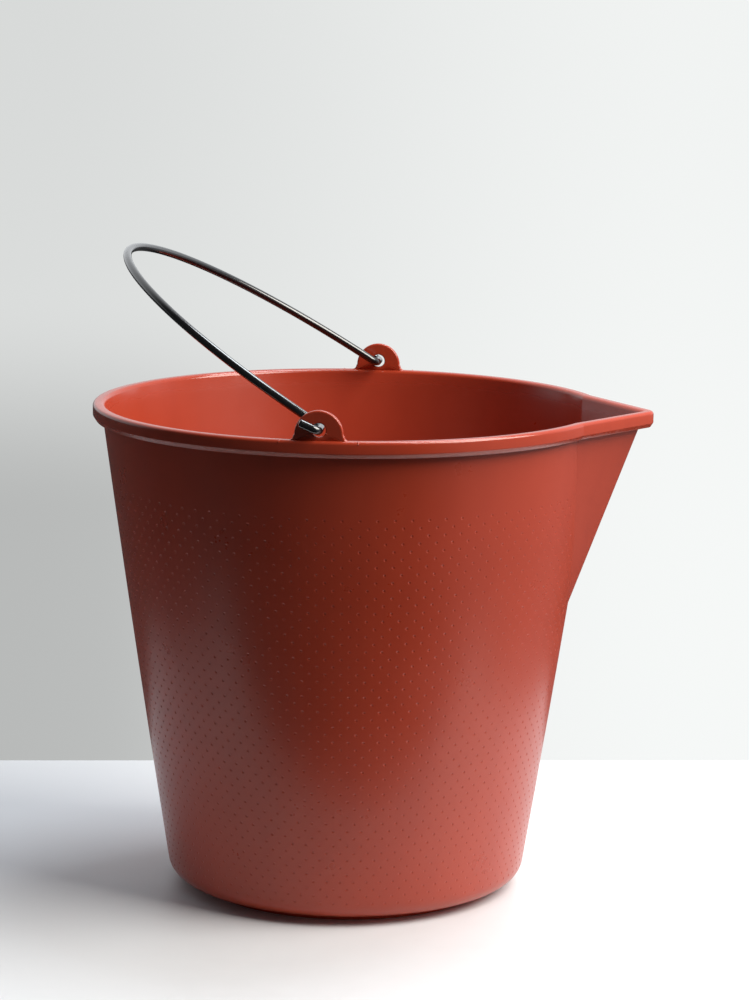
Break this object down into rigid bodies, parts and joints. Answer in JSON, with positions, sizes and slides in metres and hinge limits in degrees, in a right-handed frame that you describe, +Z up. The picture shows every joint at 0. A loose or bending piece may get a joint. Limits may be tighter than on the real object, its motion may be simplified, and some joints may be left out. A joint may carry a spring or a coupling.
{
  "type": "florist bucket",
  "caption": "Tapered plastic bucket with a pouring spout, a dimpled wall, two ears on the rim and a swinging coated-wire bail.",
  "frame": {"origin": "on the bucket's axis, in the plane that the foot rests on", "axes": "+Z up, +X towards the spout, Y along the bail's hinge line through both ears"},
  "size_m": [0.3258, 0.3052, 0.375],
  "materials": {
    "terracotta_polypropylene": "through-coloured terracotta polypropylene, satin, with rows of small moulded dimples on the wall",
    "black_coating": "glossy black plastic coating on wire",
    "bare_steel": "bare cut wire ends, dull"
  },
  "bodies": {
    "bucket": {"bucket_shell": "terracotta_polypropylene"},
    "bail": {"bail_coating": "black_coating", "bail_core": "bare_steel"}
  },
  "joints": [
    {"name": "bail_swing", "type": "hinge", "parent": "bucket", "child": "bail", "pos_m": [0, 0, 0.2916], "axis": [0, 1, 0], "range_deg": [-33, 149]}
  ]
}
